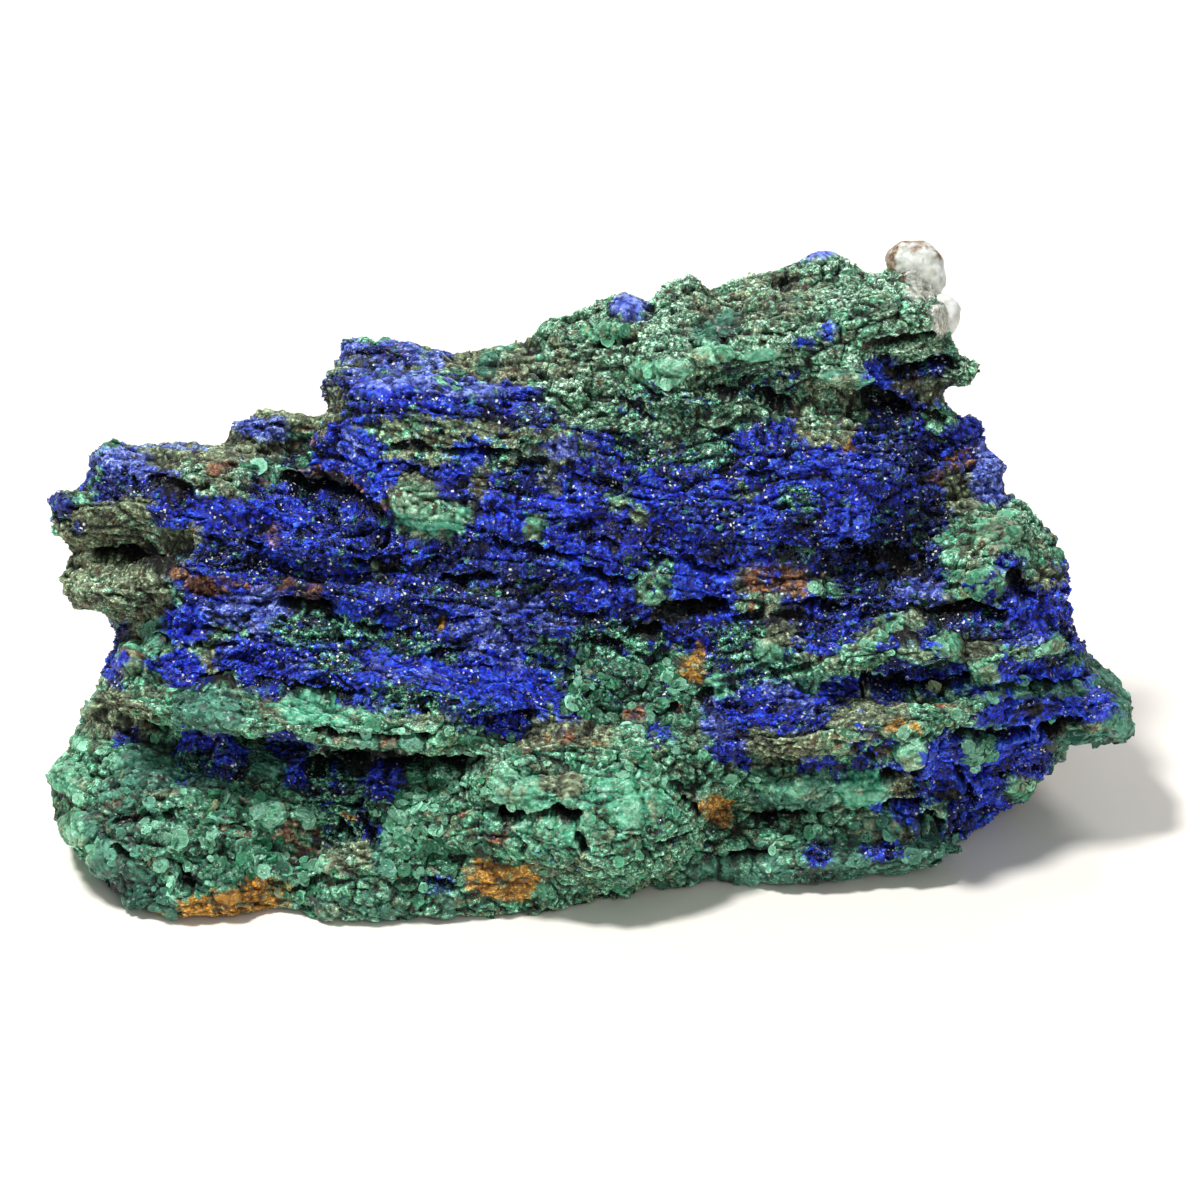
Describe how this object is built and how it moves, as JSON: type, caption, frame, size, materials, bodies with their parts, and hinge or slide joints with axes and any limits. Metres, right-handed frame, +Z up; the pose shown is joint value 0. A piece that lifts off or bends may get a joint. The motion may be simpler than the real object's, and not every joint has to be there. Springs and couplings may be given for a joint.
{
  "type": "azurite malachite mineral specimen",
  "caption": "Free-standing natural rock of layered blue azurite and green malachite, with broken ledges, rounded lumps and a quartz knob on its crest, resting on a flat base.",
  "frame": {"origin": "centre of the bounding box in plan, on the flat base that the rock rests on", "axes": "+X along the rock's length, to the right when facing the broken blue and green face; +Y from that face to the back; +Z up"},
  "size_m": [0.1818, 0.0848, 0.0907],
  "materials": {
    "stone": "rough natural mineral crust, bright blue azurite and green malachite"
  },
  "bodies": {
    "root": {"azurite_malachite_rock": "stone"}
  },
  "joints": []
}
